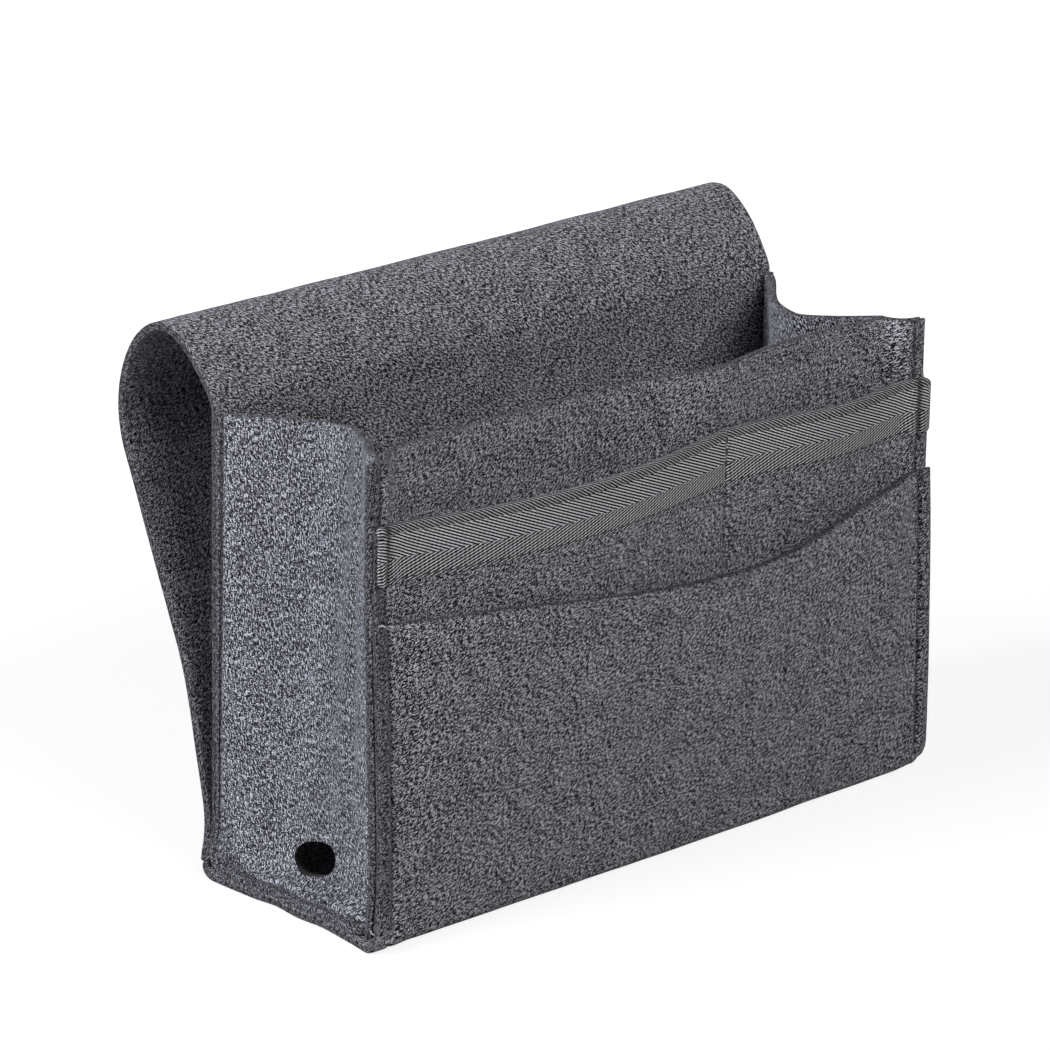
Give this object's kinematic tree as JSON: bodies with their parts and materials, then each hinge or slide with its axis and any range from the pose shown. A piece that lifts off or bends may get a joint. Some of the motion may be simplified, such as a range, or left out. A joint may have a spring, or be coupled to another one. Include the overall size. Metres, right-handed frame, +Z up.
{
  "type": "bedside caddy",
  "caption": "Grey felt bedside caddy: an open box with layered front pockets, woven binding tape, a cable hole in one side and a long flap at the back for tucking under a mattress.",
  "frame": {"origin": "on the face that the caddy stands on, in the middle of its width and midway between the back and the upper front", "axes": "+X to the right seen from the front, +Y to the back where the flap hangs, +Z up"},
  "size_m": [0.314, 0.1706, 0.2316],
  "materials": {
    "felt": "heathered grey felt",
    "side_felt": "heathered grey felt, slightly bluer in the light of the side",
    "tape": "herringbone tape woven from black and pale grey yarn",
    "thread": "grey sewing thread"
  },
  "bodies": {
    "caddy": {"front_wall": "felt", "middle_pocket": "felt", "outer_pocket": "felt", "bottom_panel": "felt", "back_panel": "felt", "left_side_panel": "side_felt", "right_side_panel": "side_felt", "pocket_binding": "tape", "front_left_seam": "thread", "front_right_seam": "thread", "back_left_seam": "thread", "back_right_seam": "thread", "bottom_left_seam": "thread", "bottom_right_seam": "thread", "divider_seam": "thread", "binding_left_seam": "thread", "binding_right_seam": "thread"},
    "flap_bend": {"flap_bend": "felt"},
    "flap_tail": {"flap_tail": "felt"}
  },
  "joints": [
    {"name": "flap_root_hinge", "type": "hinge", "parent": "caddy", "child": "flap_bend", "pos_m": [0, 0.0466, 0.1996], "axis": [1, 0, 0], "range_deg": [0, 45]},
    {"name": "flap_fold_hinge", "type": "hinge", "parent": "flap_bend", "child": "flap_tail", "pos_m": [0, 0.078, 0.2301], "axis": [1, 0, 0.0096], "range_deg": [0, 112]}
  ]
}
